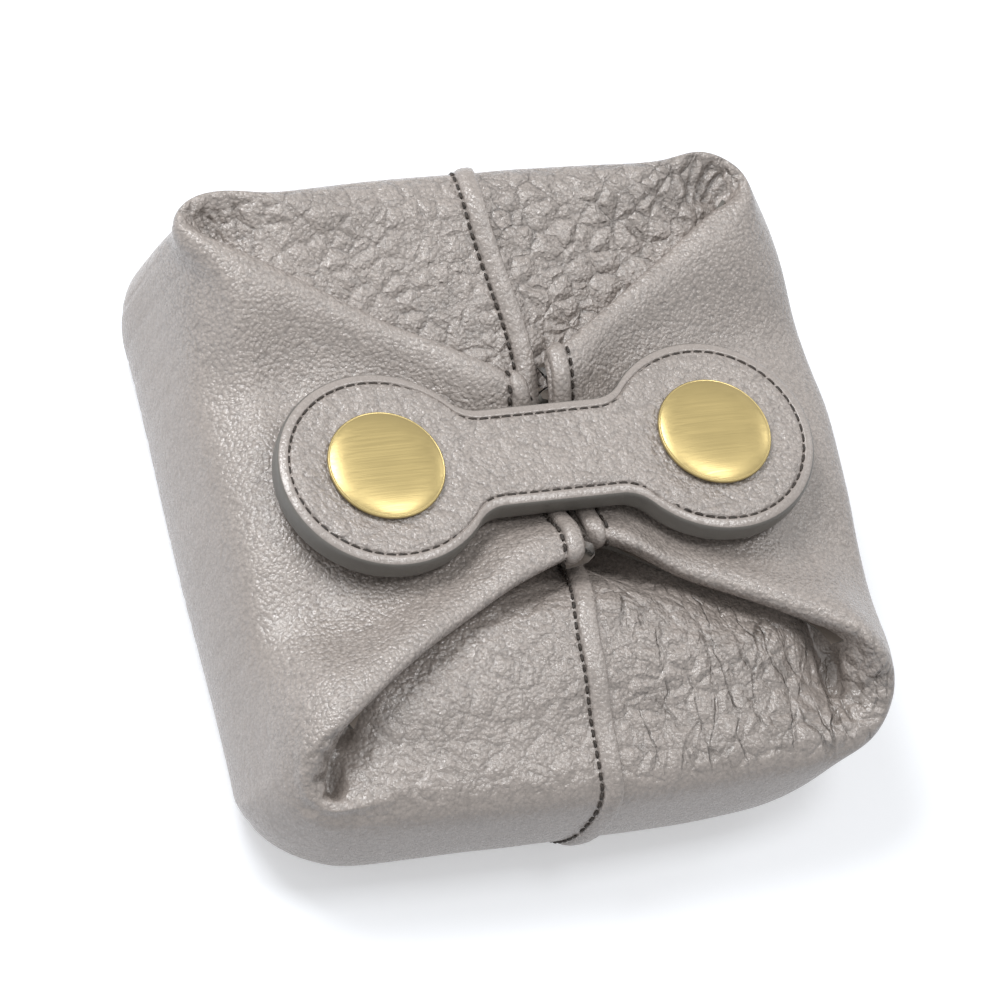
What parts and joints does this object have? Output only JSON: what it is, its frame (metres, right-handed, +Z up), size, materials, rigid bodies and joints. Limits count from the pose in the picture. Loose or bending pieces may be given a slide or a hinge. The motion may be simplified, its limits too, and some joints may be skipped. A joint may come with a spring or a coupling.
{
  "type": "leather cosmetic pouch",
  "caption": "Small square grained leather pouch with a parcel-folded mouth, held shut by a dog-bone strap with domed brass snap caps.",
  "frame": {"origin": "middle of the flat base, at its lowest level", "axes": "+Z up through the mouth, +X towards the flap that carries the snap stud, +Y towards the top gusset"},
  "size_m": [0.084, 0.087, 0.0306],
  "materials": {
    "leather": "pebble-grained, semi-matt, warm grey",
    "strap_leather": "pebble-grained, matt, warm grey, edges painted mid grey",
    "strap_core": "bonded fibre board, hidden inside the strap",
    "thread": "waxed dark brown sewing thread",
    "brass": "satin antique brass, finely brushed",
    "steel": "plain spring wire"
  },
  "bodies": {
    "pouch_body": {"left_panel": "leather", "right_panel": "leather", "top_wall_thread": "thread", "bottom_wall_thread": "thread"},
    "left_flap": {"left_flap_leather": "leather", "left_hem_thread": "thread", "strap_face_anchor": "strap_leather", "strap_core_anchor": "strap_core", "strap_back_anchor": "strap_leather", "strap_thread_anchor": "thread", "left_cap": "brass", "left_rivet_back": "brass"},
    "right_flap": {"right_flap_leather": "leather", "right_hem_thread": "thread", "snap_stud": "brass", "stud_post": "brass"},
    "top_gusset": {"top_gusset_left": "leather", "top_gusset_right": "leather", "top_gusset_thread": "thread", "top_left_gusset_corner": "leather", "top_right_gusset_corner": "leather"},
    "bottom_gusset": {"bottom_gusset_left": "leather", "bottom_gusset_right": "leather", "bottom_gusset_thread": "thread", "bottom_left_gusset_corner": "leather", "bottom_right_gusset_corner": "leather"},
    "top_left_fold_leather": {"top_left_fold": "leather"},
    "top_right_fold_leather": {"top_right_fold": "leather"},
    "bottom_left_fold_leather": {"bottom_left_fold": "leather"},
    "bottom_right_fold_leather": {"bottom_right_fold": "leather"},
    "strap": {"strap_face_tongue": "strap_leather", "strap_core_tongue": "strap_core", "strap_back_tongue": "strap_leather", "strap_thread_tongue": "thread", "right_cap": "brass", "snap_socket": "brass", "socket_spring": "steel"}
  },
  "joints": [
    {"name": "flap_fold", "type": "hinge", "parent": "pouch_body", "child": "left_flap", "pos_m": [-0.0376, 0, 0.0272], "axis": [0, -1, 0], "range_deg": [0, 90]},
    {"name": "right_flap_fold", "type": "hinge", "parent": "pouch_body", "child": "right_flap", "pos_m": [0.0376, 0, 0.0272], "axis": [0, 1, 0], "range_deg": [0, 90]},
    {"name": "top_gusset_fold", "type": "hinge", "parent": "pouch_body", "child": "top_gusset", "pos_m": [0, 0.0382, 0.0234], "axis": [-1, 0, 0], "range_deg": [0, 103], "deforming": ["top_left_gusset_corner", "top_right_gusset_corner"]},
    {"name": "bottom_gusset_fold", "type": "hinge", "parent": "pouch_body", "child": "bottom_gusset", "pos_m": [0, -0.0382, 0.0234], "axis": [1, 0, 0], "range_deg": [0, 103], "deforming": ["bottom_left_gusset_corner", "bottom_right_gusset_corner"]},
    {"name": "top_left_fold_turn", "type": "hinge", "parent": "left_flap", "child": "top_left_fold_leather", "pos_m": [-0.0188, 0.02125, 0.02335], "axis": [0.8522, -0.5186, -0.0701], "range_deg": [0, 180], "deforming": ["top_left_fold"]},
    {"name": "top_right_fold_turn", "type": "hinge", "parent": "right_flap", "child": "top_right_fold_leather", "pos_m": [0.0188, 0.02125, 0.02335], "axis": [0.8522, 0.5186, 0.0701], "range_deg": [0, 180], "deforming": ["top_right_fold"]},
    {"name": "bottom_left_fold_turn", "type": "hinge", "parent": "left_flap", "child": "bottom_left_fold_leather", "pos_m": [-0.0188, -0.02125, 0.02335], "axis": [-0.8522, -0.5186, 0.0701], "range_deg": [0, 180], "deforming": ["bottom_left_fold"]},
    {"name": "bottom_right_fold_turn", "type": "hinge", "parent": "right_flap", "child": "bottom_right_fold_leather", "pos_m": [0.0188, -0.02125, 0.02335], "axis": [-0.8522, 0.5186, -0.0701], "range_deg": [0, 180], "deforming": ["bottom_right_fold"]},
    {"name": "strap_lift", "type": "hinge", "parent": "left_flap", "child": "strap", "pos_m": [-0.0075, 0, 0.0296], "axis": [0, -1, 0], "range_deg": [0, 145]}
  ],
  "couplings": [
    {"joint": "right_flap_fold", "follows": "flap_fold", "ratio": 1},
    {"joint": "top_gusset_fold", "follows": "flap_fold", "ratio": 1.144},
    {"joint": "bottom_gusset_fold", "follows": "flap_fold", "ratio": 1.144},
    {"joint": "top_left_fold_turn", "follows": "flap_fold", "ratio": 2},
    {"joint": "top_right_fold_turn", "follows": "flap_fold", "ratio": 2},
    {"joint": "bottom_left_fold_turn", "follows": "flap_fold", "ratio": 2},
    {"joint": "bottom_right_fold_turn", "follows": "flap_fold", "ratio": 2}
  ]
}
